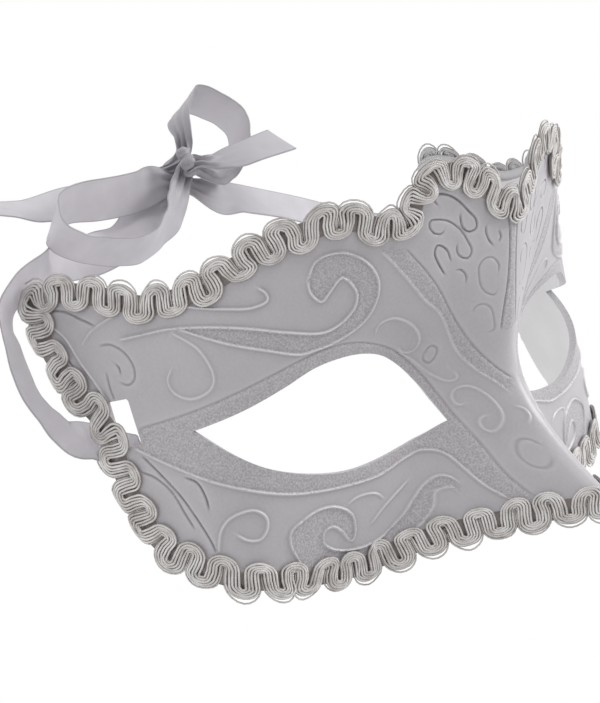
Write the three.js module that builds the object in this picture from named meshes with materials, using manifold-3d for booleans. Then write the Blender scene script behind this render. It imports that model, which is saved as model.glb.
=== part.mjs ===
// Half mask that lies face up on its two side edges, with ribbon ties knotted in a bow.
// Millimetres. +Z is up, +X is the wearer's left, +Y is the forehead side.
// The mask is drawn flat, as (s, v, w): s runs round the face from the centre line,
// v is the height on the face, w stands out from the middle of the wall. bend() gives it its form.
import * as THREE from "three";
import { mergeVertices } from "three/addons/utils/BufferGeometryUtils.js";
import Module from "manifold-3d";

const wasm = await Module();
wasm.setup();
const { Manifold, CrossSection } = wasm;

// Driving sizes.
const WALL = 1.6;
const TRUE_TO = 0.15;
const FACET = 3;
const SHEET_REACH = 124;
const SHEET_EVEN = 0.55;
const SHEET_LOW = -52;
const SHEET_HIGH = 48;
const REST_TILT = 40;
const BRAID_PADS = 150;
const BRAID_PAD = 2.3;
const BRAID_SWING = 1.7;
const BRAID_THICK = 2.0;
const GAP = 0.5;
const FLAT_CUT = 0.9;

// Ribbon ties and bow.
const RIBBON_WIDTH = 10;
const RIBBON_THICK = 0.5;
const RIBBON_STEP = 3;
const FLOOR_GAP = 0.1;
const KNOT = [-9, 71, 6];
const KNOT_REACH = 8.5;
const KNOT_PINCH = 0.65;

// Form of the face.
const BROW_RADIUS = 62;
const BROW_TURN = 90;
const CHEEK_TURN_NEAR = 13.5;
const CHEEK_TURN_FAR = 70;
const CHEEK_FROM = 60;
const CHEEK_TO = 82;
const BLEND_LOW = -50;
const BLEND_HIGH = 45;
const NOSE_HEIGHT = 26.7;
const NOSE_TOP = 0.1;
const NOSE_TIP = -31;
const NOSE_POWER = 1.81;
const NOSE_NARROW = 8;
const NOSE_WIDE = 26;
const KEEL_HEIGHT = 2.6;
const KEEL_REACH = 14;
const KEEL_POWER = 1.3;
const RIDGE_ROUND = 2.5;
const SOCKET_DEPTH = 7;
const SOCKET_AT = [22.4, -5.8];
const SOCKET_SIZE = [15, 16];

// Half outlines as (s, v), from the centre line's top, round the temple, to the nose tip.
const EDGE = [
  [0, 32.1], [4.8, 34.9], [10.1, 39.8], [15.9, 42.7], [22.5, 42.7], [26.2, 39.1], [28.3, 33.8],
  [33.1, 32.4], [43.5, 34.8], [53.1, 32.5], [59.6, 30.1], [67.4, 25.4], [75.3, 20.3], [81.3, 17.6],
  [88.4, 15.4], [97.3, 15.7], [105.5, 15.7], [112.3, 14.6], [117.3, 11.4], [114.7, 4.2], [106.1, -6.1],
  [99.5, -12.5], [97, -20.5], [93, -30.4], [88.3, -36.1], [77.9, -40.7], [60.1, -43.9], [37.8, -44.5],
  [24.8, -39.9], [15.2, -36.7], [6.4, -33.7], [0, -32.7],
];
const EYE_TOP = [
  [79, -10.6], [67, -5.5], [58, -1.4], [50.4, 2.2], [43.1, 3.6], [36.8, 3.4], [29.9, 1.5], [23.4, -2.7],
  [18.8, -7.8], [16.2, -12.3], [14.6, -16.2],
];
const EYE_BOTTOM = [
  [14.6, -16.2], [21.1, -19.1], [33.8, -21.9], [45.7, -22.5], [62.2, -19.2], [79, -10.6],
];
const SLOT = { at: [95.5, -10.8], size: [5.5, 9.9], lean: 16 };

// Middle lines of the two ribbons as they lie, each point with the direction of its width.
const LEFT_RIBBON = [
  [[-70.3, 3.4, 11], [0.1, 0.98, 0.2]], [[-71.4, 7.8, 6.4], [0.2, 0.98, 0.1]],
  [[-71.7, 14.2, 1.9], [0.41, 0.91, 0]], [[-76.8, 18.8, 1], [0.51, 0.85, -0.1]],
  [[-81.6, 20.5, 1.2], [0.59, 0.8, -0.14]], [[-84.2, 24.2, 1.6], [0.84, 0.5, -0.21]],
  [[-86, 28.3, 2.1], [0.87, 0.35, -0.34]], [[-87.1, 32.1, 2.4], [0.92, 0.1, -0.37]],
  [[-86.5, 37.6, 2.5], [0.9, -0.14, -0.41]], [[-84.8, 44.8, 3], [0.85, -0.19, -0.5]],
  [[-83, 50.9, 3.5], [0.69, -0.39, -0.61]], [[-77.1, 55.5, 4.4], [0.31, -0.54, -0.79]],
  [[-67.3, 57.9, 4.2], [0.07, -0.64, -0.76]], [[-55.9, 59.5, 2.8], [-0.01, -0.88, -0.47]],
  [[-45.9, 59.1, 1.8], [0.03, -0.98, -0.17]], [[-32.3, 60.5, 3], [0.2, -0.82, 0.53]],
  [[-21, 65, 2], [0.31, -0.92, 0.24]], [[-12.5, 67, 1.6], [0.5, -0.86, 0]],
  [[-6.6, 72.2, 1.6], [0.6, -0.8, 0]], [[-1.4, 76, 3.6], [0.45, -0.5, 0.74]],
  [[-0.8, 79.4, 5.4], [-0.05, -0.3, 0.94]], [[1.1, 83.6, 5.4], [0.03, -0.02, 1]],
  [[4.1, 85.7, 5.4], [-0.04, 0.06, 1]], [[7.6, 87.5, 5.4], [-0.02, 0.21, 0.98]],
  [[10.2, 86.8, 5.4], [0.07, 0.16, 0.98]], [[14.1, 84, 5.4], [0.04, 0.05, 1]],
  [[17.6, 80.5, 5.4], [-0.03, -0.02, 1]], [[18.4, 77.4, 5.4], [-0.14, 0.02, 0.99]],
  [[16.4, 73.7, 5.4], [-0.08, 0.07, 0.99]], [[10.5, 69, 5.4], [0.11, -0.22, 0.97]],
  [[3.4, 67.3, 5.4], [0.26, -0.71, 0.65]], [[-0.8, 67.2, 7.6], [0, -0.95, 0.3]],
  [[-5, 67.6, 9.8], [0, -1, 0]], [[-10.5, 69, 11.6], [0, -1, 0]], [[-14.2, 69.2, 13.2], [0, -1, 0]],
  [[-13, 69, 14.9], [0, -1, 0]], [[-9.7, 67.8, 15.2], [-0.15, -0.97, 0.15]],
  [[-4.5, 66.9, 15.6], [-0.13, -0.84, 0.52]], [[3.7, 66.7, 17], [-0.12, -0.79, 0.61]],
  [[14.2, 66.5, 18.6], [-0.1, -0.83, 0.55]],
];
const RIGHT_RIBBON = [
  [[68.3, 31.4, 15], [0.2, -0.98, -0.1]], [[70.6, 31.8, 8.6], [0.2, -0.98, -0.1]],
  [[69.3, 34.1, 2.4], [-0.32, -0.95, 0]], [[59.1, 38.2, 1.6], [-0.41, -0.91, 0]],
  [[46.6, 43.3, 1.9], [-0.4, -0.9, 0.17]], [[34.4, 49.2, 2], [-0.41, -0.88, 0.24]],
  [[18.5, 56.6, 2.6], [-0.35, -0.89, 0.31]], [[6.6, 60.9, 3.4], [-0.24, -0.94, 0.24]],
  [[-1, 62.4, 4.6], [-0.5, -0.86, -0.1]], [[-9.2, 66.8, 5.3], [-0.3, -0.95, 0]],
  [[-17.3, 69.3, 6.6], [0, -0.98, -0.2]], [[-28.3, 68.4, 7.6], [-0.03, -0.79, -0.61]],
  [[-40.4, 69.1, 8.2], [-0.1, -0.76, -0.64]], [[-50.2, 70, 9], [-0.09, -0.62, -0.78]],
  [[-59.5, 68.5, 10.8], [0.03, -0.51, -0.86]], [[-63.8, 64.1, 12.5], [0.27, -0.09, -0.96]],
  [[-61, 60.2, 11.8], [-0.09, 0.07, -0.99]], [[-53.6, 57, 11.2], [-0.07, -0.12, -0.99]],
  [[-46.2, 54.6, 11.4], [-0.03, -0.21, -0.98]], [[-38.2, 54, 11.4], [0.04, -0.37, -0.93]],
  [[-30.2, 56.9, 11.2], [0.19, -0.53, -0.83]], [[-22.9, 60.7, 10.6], [0.39, -0.73, -0.56]],
  [[-11.2, 69, 9.3], [0.43, -0.9, 0]], [[-5.5, 72, 8], [0.21, -0.98, 0]],
  [[-3.2, 72.7, 6.2], [0, -1, 0]], [[-5.5, 72.2, 4.6], [0, -1, 0]], [[-12, 71.6, 3.9], [0, -1, 0]],
  [[-19.3, 70.1, 3.6], [0.08, -0.99, 0.07]], [[-31.9, 70.5, 3.4], [-0.1, -0.99, 0.14]],
  [[-41.7, 72, 2.8], [-0.11, -0.95, 0.28]], [[-58, 73.1, 3.2], [-0.13, -0.84, 0.53]],
  [[-66.6, 75.7, 3.6], [-0.22, -0.73, 0.64]], [[-80.4, 80.5, 3.6], [-0.25, -0.72, 0.64]],
];

const radians = (degrees) => (degrees * Math.PI) / 180;
const clamp = (t) => Math.min(1, Math.max(0, t));
const ease = (t) => clamp(t) ** 2 * (3 - 2 * clamp(t));

// Direction in which the wall runs at (s, v), as an angle turned back from straight across.
function turnAt(s, v) {
  const cap = radians(BROW_TURN);
  const soft = 0.12;
  const brow = cap - soft * Math.log1p(Math.exp((cap - s / BROW_RADIUS) / soft));
  const far = ease((s - CHEEK_FROM) / (CHEEK_TO - CHEEK_FROM));
  const cheek = radians(CHEEK_TURN_NEAR + (CHEEK_TURN_FAR - CHEEK_TURN_NEAR) * far);
  const high = clamp((v - BLEND_LOW) / (BLEND_HIGH - BLEND_LOW));
  return Math.max(0, high * brow + (1 - high) * cheek);
}

// How far the nose and its keel stand out and the eye sockets sink, at a distance across from the centre.
function relief(x, v) {
  const across = Math.hypot(x, RIDGE_ROUND) - RIDGE_ROUND;
  const down = Math.max(0, (NOSE_TOP - v) / (NOSE_TOP - NOSE_TIP));
  const halfWidth = NOSE_NARROW + (NOSE_WIDE - NOSE_NARROW) * down;
  const nose = NOSE_HEIGHT * down ** NOSE_POWER * clamp(1 - across / halfWidth) ** 1.5;
  const keel = KEEL_HEIGHT * clamp(1 - across / KEEL_REACH) ** KEEL_POWER;
  const off = [(across - SOCKET_AT[0]) / SOCKET_SIZE[0], (v - SOCKET_AT[1]) / SOCKET_SIZE[1]];
  return nose + keel - SOCKET_DEPTH * Math.exp(-(off[0] ** 2) - off[1] ** 2);
}

// Point of the middle of the wall, in the face's own frame: x across, y up, z out.
function middle(s, v) {
  const steps = 40;
  const step = Math.abs(s) / steps;
  let x = 0;
  let z = 0;
  for (let i = 0; i < steps; i += 1) {
    const turn = turnAt((i + 0.5) * step, v);
    x += Math.cos(turn) * step;
    z -= Math.sin(turn) * step;
  }
  return new THREE.Vector3(s < 0 ? -x : x, v, z + relief(x, v));
}

// Bends a flat point into the face's frame.
function bend(s, v, w) {
  const point = middle(s, v);
  const reach = 0.4;
  const across = middle(s + reach, v).sub(middle(s - reach, v));
  const up = middle(s, v + reach).sub(middle(s, v - reach));
  return point.addScaledVector(across.cross(up).normalize(), w);
}

// Evenly spaced points of a smooth line through the given ones.
function smoothLine(points, closed, spacing) {
  const curve = new THREE.CatmullRomCurve3(
    points.map(([s, v]) => new THREE.Vector3(s, v, 0)), closed, "centripetal");
  curve.arcLengthDivisions = 2000;
  const count = Math.round(curve.getLength() / spacing);
  const spaced = curve.getSpacedPoints(count).map((p) => [p.x, p.y]);
  return closed ? spaced.slice(0, -1) : spaced;
}

const mirrored = (points) => points.map(([s, v]) => [-s, v]);

function wholeEdge() {
  return [...EDGE.slice(0, -1), ...mirrored(EDGE).reverse().slice(0, -1)];
}

function eyeOutline() {
  return [...smoothLine(EYE_TOP, false, 3.2).slice(0, -1), ...smoothLine(EYE_BOTTOM, false, 3.2).slice(0, -1)];
}

function bentPoint(point) {
  bend(point[0], point[1], point[2]).toArray(point);
}

// A bent sheet with no outline yet, between two heights over the middle of the wall.
function bentSheet(low, high) {
  const [columns, rows] = [44, 16];
  const cell = new THREE.BoxGeometry(2, 1, high - low, columns, rows, 1);
  const position = cell.getAttribute("position");
  for (let i = 0; i < position.count; i += 1) {
    const q = position.getX(i);
    const s = SHEET_REACH * (SHEET_EVEN * q + (1 - SHEET_EVEN) * q * Math.abs(q));
    const v = SHEET_LOW + (SHEET_HIGH - SHEET_LOW) * (position.getY(i) + 0.5);
    bend(s, v, position.getZ(i) + (high + low) / 2).toArray(position.array, 3 * i);
  }
  const merged = mergeVertices(new THREE.BufferGeometry()
    .setAttribute("position", position).setIndex(cell.index), 1e-4);
  return new Manifold(new wasm.Mesh({
    numProp: 3,
    vertProperties: merged.getAttribute("position").array,
    triVerts: new Uint32Array(merged.index.array),
  }));
}

// A bent cutter with the given outline, reaching past both faces of the wall.
function bentCutter(outline) {
  const depth = 2 * WALL;
  return outline.extrude(depth).translate([0, 0, -depth / 2]).refineToLength(FACET).warp(bentPoint);
}

function shellSolid() {
  const eye = new CrossSection([eyeOutline()], "EvenOdd");
  const slot = CrossSection.square(SLOT.size, true).rotate(-SLOT.lean).translate(SLOT.at);
  const holes = [eye, eye.mirror([1, 0]), slot, slot.mirror([1, 0])].map(bentCutter);
  const edge = bentCutter(new CrossSection([smoothLine(wholeEdge(), true, 3)], "EvenOdd"));
  return bentSheet(-WALL / 2, WALL / 2).intersect(edge).subtract(Manifold.union(holes)).asOriginal().simplify(TRUE_TO);
}

// Points spaced evenly along the bent edge, each with its directions along, outward and off the face.
function edgeStations(count) {
  const fine = smoothLine(wholeEdge(), true, 1).map(([s, v]) => ({
    at: bend(s, v, 0),
    off: bend(s, v, 1).sub(bend(s, v, 0)),
  }));
  const curve = new THREE.CatmullRomCurve3(fine.map((station) => station.at), true);
  curve.arcLengthDivisions = 3000;
  return Array.from({ length: count }, (_, i) => {
    const along = curve.getTangentAt(i / count);
    const nearest = Math.floor(curve.getUtoTmapping(i / count) * fine.length) % fine.length;
    const out = fine[nearest].off.clone().cross(along).normalize();
    return { at: curve.getPointAt(i / count), along, out, off: along.clone().cross(out) };
  });
}

// Round pads outward and inward by turns, each joined to the next, as the braid's cords snake along.
function braidSolid() {
  const pads = edgeStations(BRAID_PADS).map(({ at, along, out, off }, i) => {
    const place = at.clone().addScaledVector(out, i % 2 ? BRAID_SWING : -BRAID_SWING);
    place.addScaledVector(off, (WALL + BRAID_THICK) / 2);
    const matrix = new THREE.Matrix4().makeBasis(along, out, off).setPosition(place);
    return Manifold.cylinder(BRAID_THICK, BRAID_PAD, BRAID_PAD, 8, true).transform(matrix.toArray());
  });
  const links = pads.map((pad, i) => Manifold.hull([pad, pads[(i + 1) % pads.length]]));
  return Manifold.union(links).subtract(bentSheet(-WALL, WALL / 2 + GAP)).asOriginal().simplify(TRUE_TO);
}

function meshOf(name, solid) {
  const data = solid.getMesh();
  const geometry = new THREE.BufferGeometry();
  geometry.setAttribute("position", new THREE.BufferAttribute(new Float32Array(data.vertProperties), 3));
  geometry.setIndex(new THREE.BufferAttribute(new Uint32Array(data.triVerts), 1));
  const mesh = new THREE.Mesh(geometry);
  mesh.name = name;
  return mesh;
}

// Lays the mask down: turned back onto its side edges, centred, and trimmed flat where it rests.
function laidDown(shell, braid) {
  const turned = [shell, braid].map((solid) => solid.rotate([REST_TILT, 0, 0]));
  const box = turned[1].boundingBox();
  const middleY = (box.min[1] + box.max[1]) / 2;
  const shift = [0, -middleY, -box.min[2] - FLAT_CUT];
  return turned.map((solid) => solid.translate(shift).trimByPlane([0, 0, 1], 0));
}

// A thin flat strip swept along its stations, narrowed where it is drawn into the knot.
function ribbonSolid(stations) {
  const path = new THREE.CatmullRomCurve3(stations.map(([at]) => new THREE.Vector3(...at)), false, "centripetal");
  const across = stations.map(([, direction]) => new THREE.Vector3(...direction).normalize());
  const knot = new THREE.Vector3(...KNOT);
  const count = Math.round(path.getLength() / RIBBON_STEP);
  const corners = [];
  for (let i = 0; i <= count; i += 1) {
    const t = path.getUtoTmapping(i / count) * (stations.length - 1);
    const first = Math.min(Math.floor(t), stations.length - 2);
    const along = path.getTangentAt(i / count);
    const side = across[first].clone().lerp(across[first + 1], ease(t - first));
    side.addScaledVector(along, -side.dot(along)).normalize();
    const centre = path.getPointAt(i / count);
    const pinch = KNOT_PINCH * Math.exp(-((centre.distanceTo(knot) / KNOT_REACH) ** 2));
    side.multiplyScalar((RIBBON_WIDTH / 2) * (1 - pinch));
    const up = side.clone().cross(along).setLength(RIBBON_THICK / 2);
    const lowest = centre.z - Math.abs(side.z) - Math.abs(up.z);
    centre.z += Math.max(0, FLOOR_GAP - lowest);
    for (const [a, b] of [[1, 1], [-1, 1], [-1, -1], [1, -1]]) {
      corners.push(centre.clone().addScaledVector(side, a).addScaledVector(up, b));
    }
  }
  const faces = [[0, 1, 2], [0, 2, 3]];
  // The upper and lower faces are cut along the same diagonal, which keeps the strip's thickness as it twists.
  for (let i = 0; i < 4 * count; i += 4) {
    for (let k = 0; k < 4; k += 1) {
      const [a, b] = [i + k, i + ((k + 1) % 4)];
      faces.push(...(k < 2 ? [[a, a + 4, b + 4], [a, b + 4, b]] : [[a, a + 4, b], [a + 4, b + 4, b]]));
    }
  }
  faces.push([4 * count, 4 * count + 2, 4 * count + 1], [4 * count, 4 * count + 3, 4 * count + 2]);
  return new Manifold(new wasm.Mesh({
    numProp: 3,
    vertProperties: new Float32Array(corners.flatMap((corner) => corner.toArray())),
    triVerts: new Uint32Array(faces.flat()),
  }));
}

const [shell, braid] = laidDown(shellSolid(), braidSolid());
const mask = new THREE.Group();
mask.name = "half_mask";
mask.add(meshOf("mask_shell", shell));
mask.add(meshOf("edge_braid", braid));
mask.add(meshOf("ribbon_left", ribbonSolid(LEFT_RIBBON)));
mask.add(meshOf("ribbon_right", ribbonSolid(RIGHT_RIBBON)));
export default mask;
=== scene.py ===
import math

import bpy
import numpy as np
from mathutils import Matrix, Vector, noise
from mathutils.geometry import delaunay_2d_cdt
from mathutils.kdtree import KDTree


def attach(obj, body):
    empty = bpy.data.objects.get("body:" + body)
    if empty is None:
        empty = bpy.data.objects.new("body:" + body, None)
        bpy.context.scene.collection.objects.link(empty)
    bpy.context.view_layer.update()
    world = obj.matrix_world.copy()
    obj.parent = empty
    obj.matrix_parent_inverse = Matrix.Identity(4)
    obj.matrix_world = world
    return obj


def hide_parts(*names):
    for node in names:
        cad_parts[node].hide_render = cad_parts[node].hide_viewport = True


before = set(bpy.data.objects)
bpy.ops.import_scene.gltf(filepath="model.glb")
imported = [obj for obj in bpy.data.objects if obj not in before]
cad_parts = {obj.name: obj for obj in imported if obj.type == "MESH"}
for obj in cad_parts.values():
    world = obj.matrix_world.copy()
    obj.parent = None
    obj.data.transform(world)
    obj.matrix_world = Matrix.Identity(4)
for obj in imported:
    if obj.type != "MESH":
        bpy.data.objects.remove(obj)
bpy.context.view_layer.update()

# Lengths are millimetres until a mesh is made. The mask is drawn flat, as (s, v, w), and bent:
# s runs round the face from the centre line, v is the height, w stands out from the middle of the wall.
MM = 0.001
DRAWS = np.random.default_rng(7)

# Form of the face, as in the part's source.
WALL = 1.6
REST_TILT = 40
REST_SHIFT = np.array([0.0, -6.057, 54.64])
BROW_RADIUS = 62
BROW_TURN = 90
BROW_SOFT = 0.12
CHEEK_TURN = (13.5, 70)
CHEEK_REACH = (60, 82)
BLEND = (-50, 45)
NOSE_HEIGHT = 26.7
NOSE_TOP = 0.1
NOSE_TIP = -31
NOSE_POWER = 1.81
NOSE_SIDE_POWER = 1.5
NOSE_NARROW = 8
NOSE_WIDE = 26
KEEL_HEIGHT = 2.6
KEEL_REACH = 14
KEEL_POWER = 1.3
RIDGE_ROUND = 2.5
SOCKET_DEPTH = 7
SOCKET_AT = (22.4, -5.8)
SOCKET_SIZE = (15, 16)
TURN_STEPS = 40
NORMAL_REACH = 0.4

# Outlines of the wearer's right half, drawn flat.
EDGE = [
    (0, 32.1), (4.8, 34.9), (10.1, 39.8), (15.9, 42.7), (22.5, 42.7), (26.2, 39.1), (28.3, 33.8),
    (33.1, 32.4), (43.5, 34.8), (53.1, 32.5), (59.6, 30.1), (67.4, 25.4), (75.3, 20.3), (81.3, 17.6),
    (88.4, 15.4), (97.3, 15.7), (105.5, 15.7), (112.3, 14.6), (117.3, 11.4), (114.7, 4.2),
    (106.1, -6.1), (99.5, -12.5), (97, -20.5), (93, -30.4), (88.3, -36.1), (77.9, -40.7), (60.1, -43.9),
    (37.8, -44.5), (24.8, -39.9), (15.2, -36.7), (6.4, -33.7), (0, -32.7),
]
EYE_TOP = [
    (79, -10.6), (67, -5.5), (58, -1.4), (50.4, 2.2), (43.1, 3.6), (36.8, 3.4), (29.9, 1.5),
    (23.4, -2.7), (18.8, -7.8), (16.2, -12.3), (14.6, -16.2),
]
EYE_LOW = [
    (14.6, -16.2), (21.1, -19.1), (33.8, -21.9), (45.7, -22.5), (62.2, -19.2), (79, -10.6),
]
SLOT_AT = (95.5, -10.8)
SLOT_SIZE = (5.5, 9.9)
SLOT_LEAN = 16

# Camera: its turn about the upright face, its rise and where its axis passes the nose bridge.
CAMERA_TURN = 52
CAMERA_RISE = 17.5
CAMERA_DISTANCE = 900
CAMERA_OFF = (45.44, 2.56)
CAMERA_LENS = 202.8
CAMERA_NEAR = 0.01
CAMERA_FAR = 20


def ease(t):
    """Runs from 0 to 1 with a soft start and end."""
    t = np.clip(t, 0, 1)
    return t * t * (3 - 2 * t)


def turn_at(s, v):
    """How far the face has turned away from the front, in radians."""
    cap = math.radians(BROW_TURN)
    brow = cap - BROW_SOFT * np.log1p(np.exp((cap - s / BROW_RADIUS) / BROW_SOFT))
    far = ease((s - CHEEK_REACH[0]) / (CHEEK_REACH[1] - CHEEK_REACH[0]))
    cheek = np.radians(CHEEK_TURN[0] + (CHEEK_TURN[1] - CHEEK_TURN[0]) * far)
    high = np.clip((v - BLEND[0]) / (BLEND[1] - BLEND[0]), 0, 1)
    return np.maximum(0, high * brow + (1 - high) * cheek)


def relief(x, v):
    """Depth of the nose, the brow's keel and the eye sockets."""
    across = np.hypot(x, RIDGE_ROUND) - RIDGE_ROUND
    down = np.maximum(0, (NOSE_TOP - v) / (NOSE_TOP - NOSE_TIP))
    half_width = NOSE_NARROW + (NOSE_WIDE - NOSE_NARROW) * down
    nose = NOSE_HEIGHT * down**NOSE_POWER * np.clip(1 - across / half_width, 0, 1) ** NOSE_SIDE_POWER
    keel = KEEL_HEIGHT * np.clip(1 - across / KEEL_REACH, 0, 1) ** KEEL_POWER
    off_s = (across - SOCKET_AT[0]) / SOCKET_SIZE[0]
    off_v = (v - SOCKET_AT[1]) / SOCKET_SIZE[1]
    return nose + keel - SOCKET_DEPTH * np.exp(-(off_s**2) - off_v**2)


def middle(s, v):
    """Points of the middle of the wall in the face's own frame: x across, y up, z out."""
    step = np.abs(s) / TURN_STEPS
    turn = turn_at((np.arange(TURN_STEPS) + 0.5) * step[:, None], v[:, None])
    x = np.cos(turn).sum(axis=1) * step
    z = -np.sin(turn).sum(axis=1) * step
    return np.stack([np.where(s < 0, -x, x), v, z + relief(x, v)], axis=1)


def normals(s, v):
    """Directions straight out of the wall."""
    across = middle(s + NORMAL_REACH, v) - middle(s - NORMAL_REACH, v)
    up = middle(s, v + NORMAL_REACH) - middle(s, v - NORMAL_REACH)
    out = np.cross(across, up)
    return out / np.linalg.norm(out, axis=1)[:, None]


TILT = np.array(Matrix.Rotation(math.radians(REST_TILT), 3, "X"))


def laid(points):
    """Turns points of the upright face back onto its side edges, into the row frame."""
    return points @ TILT.T + REST_SHIFT


def bend(s, v, w):
    """Turns flat places and their height off the wall into points of the mask as it lies."""
    return laid(middle(s, v) + normals(s, v) * w[:, None])


def smooth_line(points, closed=False, spacing=1.0):
    """Evenly spaced points of a centripetal curve through the given ones, in 2-D or 3-D."""
    fine, _ = curve_with_params(points, closed)
    return resample(fine, spacing, closed)[0]


def curve_with_params(points, closed=False, per_span=40):
    """A fine centripetal curve through the points, and how many points have been passed along it."""
    p = np.asarray(points, float)
    if closed:
        p = np.vstack([p[-1], p, p[0], p[1]])
    else:
        p = np.vstack([2 * p[0] - p[1], p, 2 * p[-1] - p[-2]])
    parts = []
    params = []
    t = np.linspace(0, 1, per_span, endpoint=False)[:, None]
    for i in range(1, len(p) - 2):
        d = [max(np.linalg.norm(p[i + k] - p[i + k - 1]) ** 0.5, 1e-6) for k in (0, 1, 2)]
        a = (p[i] - p[i - 1]) / d[0] - (p[i + 1] - p[i - 1]) / (d[0] + d[1]) + (p[i + 1] - p[i]) / d[1]
        b = (p[i + 1] - p[i]) / d[1] - (p[i + 2] - p[i]) / (d[1] + d[2]) + (p[i + 2] - p[i + 1]) / d[2]
        a, b = a * d[1], b * d[1]
        parts.append(
            (2 * t**3 - 3 * t**2 + 1) * p[i] + (t**3 - 2 * t**2 + t) * a
            + (3 * t**2 - 2 * t**3) * p[i + 1] + (t**3 - t**2) * b
        )
        params.append(i - 1 + t[:, 0])
    parts.append(p[-2][None, :])
    params.append(np.array([len(p) - 3.0]))
    return np.vstack(parts), np.concatenate(params)


def lengths_along(line):
    """The way gone at each point of a line."""
    return np.concatenate([[0], np.cumsum(np.linalg.norm(np.diff(line, axis=0), axis=1))])


def at_lengths(where, length, values):
    """Rows of values at given lengths of a line."""
    return np.stack([np.interp(where, length, values[:, k]) for k in range(values.shape[1])], axis=1)


def resample(fine, spacing, closed=False, values=None):
    """Evenly spaced points of a fine line, with any values that go along it."""
    length = lengths_along(fine)
    count = max(1, round(length[-1] / spacing))
    where = np.linspace(0, length[-1], count + 1)
    points = at_lengths(where, length, fine)
    extra = None if values is None else np.interp(where, length, values)
    if closed:
        points = points[:-1]
    return points, extra


def unit(vectors):
    """The same directions with length one."""
    return vectors / np.maximum(np.linalg.norm(vectors, axis=-1, keepdims=True), 1e-9)


def add_mesh(name, points, faces, material, smooth=True):
    """A mesh object from points in millimetres."""
    mesh = bpy.data.meshes.new(name)
    mesh.from_pydata((np.asarray(points) * MM).tolist(), [], faces)
    mesh.validate()
    if smooth:
        mesh.polygons.foreach_set("use_smooth", [True] * len(mesh.polygons))
    piece = bpy.data.objects.new(name, mesh)
    bpy.context.collection.objects.link(piece)
    mesh.materials.append(material)
    return piece


def add_values(mesh, name, values):
    """A value for each point, which the materials read by its name."""
    mesh.attributes.new(name, "FLOAT", "POINT").data.foreach_set("value", values)


def place_camera():
    """Adds the camera and returns its right, up and back in the upright face's frame."""
    turn, rise = math.radians(CAMERA_TURN), math.radians(CAMERA_RISE)
    back = np.array([-math.sin(turn) * math.cos(rise), math.sin(rise), math.cos(turn) * math.cos(rise)])
    right = np.array([math.cos(turn), 0, math.sin(turn)])
    up = np.cross(back, right)
    place = laid((back * CAMERA_DISTANCE - right * CAMERA_OFF[0] - up * CAMERA_OFF[1])[None, :])[0]
    camera = bpy.data.objects.new("camera", bpy.data.cameras.new("camera"))
    bpy.context.collection.objects.link(camera)
    axes = np.stack([TILT @ right, TILT @ up, TILT @ back], axis=1)
    camera.matrix_world = Matrix.Translation(Vector(place * MM)) @ Matrix(axes.tolist()).to_4x4()
    camera.data.lens = CAMERA_LENS
    camera.data.clip_start = CAMERA_NEAR
    camera.data.clip_end = CAMERA_FAR
    bpy.context.scene.camera = camera
    return right, up, back


VIEW_RIGHT, VIEW_UP, VIEW_BACK = place_camera()

# Colours.
SHELL_DARK = (0.525, 0.505, 0.53, 1)
SHELL_LIGHT = (0.565, 0.545, 0.57, 1)
SHELL_SPECK = (0.64, 0.62, 0.645, 1)
FROST_DARK = (0.43, 0.41, 0.435, 1)
FROST_LIGHT = (0.62, 0.595, 0.62, 1)
# Painted highlight on raised lines and beside sunk ones; painted shade in sunk lines and at raised lines'
# feet.
CREST_PAINTED_HIGHLIGHT = (0.90, 0.88, 0.90, 1)
CREST_SHADE = (0.20, 0.19, 0.20, 1)
INSIDE_DARK = (0.70, 0.69, 0.70, 1)
INSIDE_LIGHT = (0.76, 0.75, 0.76, 1)
CORD_DARK = (0.38, 0.34, 0.32, 1)
CORD_LIGHT = (0.69, 0.64, 0.61, 1)
CORD_PATCH = (0.32, 0.27, 0.25, 1)
CORD_STRAND = (0.88, 0.87, 0.86, 1)
# Painted highlight on top of the cords and painted shade in the grooves between them.
CORD_SHINE = (0.97, 0.955, 0.945, 1)
CORD_GROOVE_SHADE = (0.18, 0.15, 0.135, 1)
CORD_BACK = (0.60, 0.59, 0.60, 1)
RIBBON_DARK = (0.74, 0.72, 0.75, 1)
RIBBON_LIGHT = (0.80, 0.78, 0.81, 1)
RIBBON_WEAVE = (0.90, 0.89, 0.92, 1)
RIBBON_EDGE = (0.46, 0.45, 0.47, 1)
# Painted shade on the cloth near the knot.
RIBBON_PAINTED_SHADE = (0.43, 0.41, 0.45, 1)
BLACK = (0, 0, 0, 1)
WHITE = (1, 1, 1, 1)

# Strands and threads per millimetre: twist of a cord, warp across and weft along a ribbon.
TWISTS = 1.3
WARPS = 3.2
WEFTS = 2.6
# The selvage of a ribbon begins and is full at these parts of its width from the middle.
SELVAGE = (0.465, 0.485)


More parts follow.
